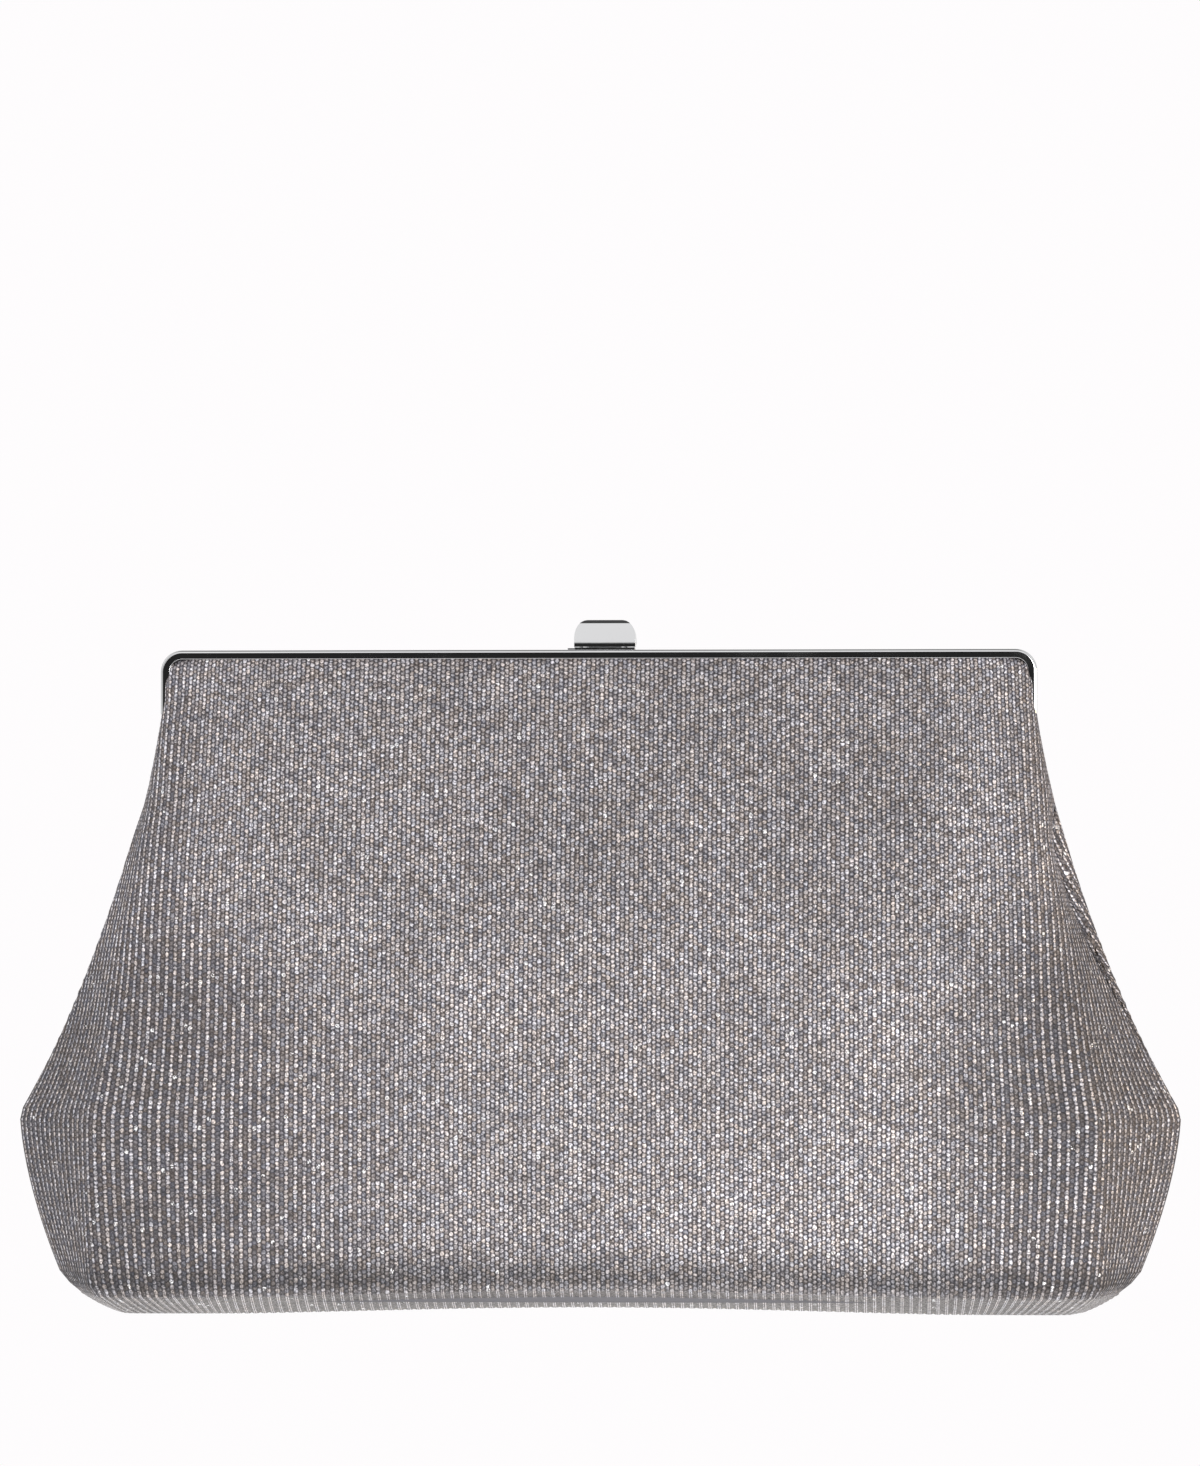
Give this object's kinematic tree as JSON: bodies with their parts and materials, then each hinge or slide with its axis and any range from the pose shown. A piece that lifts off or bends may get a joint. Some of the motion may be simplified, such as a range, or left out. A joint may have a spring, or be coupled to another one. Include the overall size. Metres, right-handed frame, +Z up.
{
  "type": "framed evening bag",
  "caption": "Framed evening clutch: ribbed glitter-knit body with boxed base, hinged chrome channel frame, press clasp with sprung tab, satin lining and slip pocket.",
  "frame": {"origin": "centre of the bag's bounding box at its base, where the flat base rests", "axes": "+X along the bag's width to the right seen from the front, +Y from the front to the back, +Z up"},
  "size_m": [0.2696, 0.052, 0.1603],
  "materials": {
    "cover_knit": "ribbed knit with metallic glitter yarn",
    "wadding": "soft polyester wadding",
    "board": "pressed card",
    "lining_satin": "satin",
    "pocket_binding": "grosgrain",
    "chrome": "polished",
    "spring_steel": "satin",
    "paper_cord": "twisted paper",
    "nylon": "matt"
  },
  "bodies": {
    "bag": {"front_cover": "cover_knit", "rear_cover": "cover_knit", "base_cover": "cover_knit", "front_padding": "wadding", "rear_padding": "wadding", "front_board": "board", "rear_board": "board", "base_board": "board", "front_lining": "lining_satin", "rear_lining": "lining_satin", "base_lining": "lining_satin", "slip_pocket": "lining_satin", "pocket_trim": "pocket_binding", "hinge_rivet_left": "chrome", "hinge_rivet_right": "chrome", "hinge_washer_left": "nylon", "hinge_washer_right": "nylon"},
    "front_half": {"front_frame": "chrome", "front_cover_top": "cover_knit", "front_lining_top": "lining_satin", "front_channel_cord": "paper_cord", "strike_plate": "chrome", "strike_rivets": "chrome"},
    "rear_half": {"rear_frame": "chrome", "rear_cover_top": "cover_knit", "rear_lining_top": "lining_satin", "rear_channel_cord": "paper_cord", "clasp_base": "chrome", "clasp_base_rivets": "chrome"},
    "clasp": {"clasp_tab": "chrome", "clasp_pin": "spring_steel", "clasp_spring": "spring_steel", "clasp_latch": "spring_steel"}
  },
  "joints": [
    {"name": "front_open", "type": "hinge", "parent": "bag", "child": "front_half", "pos_m": [0, 0, 0.103], "axis": [1, 0, 0], "range_deg": [0, 40], "deforming": ["clasp_latch"]},
    {"name": "rear_open", "type": "hinge", "parent": "bag", "child": "rear_half", "pos_m": [0, 0, 0.103], "axis": [1, 0, 0], "range_deg": [-40, 0]},
    {"name": "clasp_press", "type": "hinge", "parent": "rear_half", "child": "clasp", "pos_m": [0, 0.002, 0.1552], "axis": [-1, 0, 0], "range_deg": [0, 25], "stiffness_Nm_per_rad": 0.002, "springref_deg": -20.05, "deforming": ["clasp_spring"]}
  ],
  "couplings": [
    {"joint": "rear_open", "follows": "front_open", "ratio": -1}
  ]
}
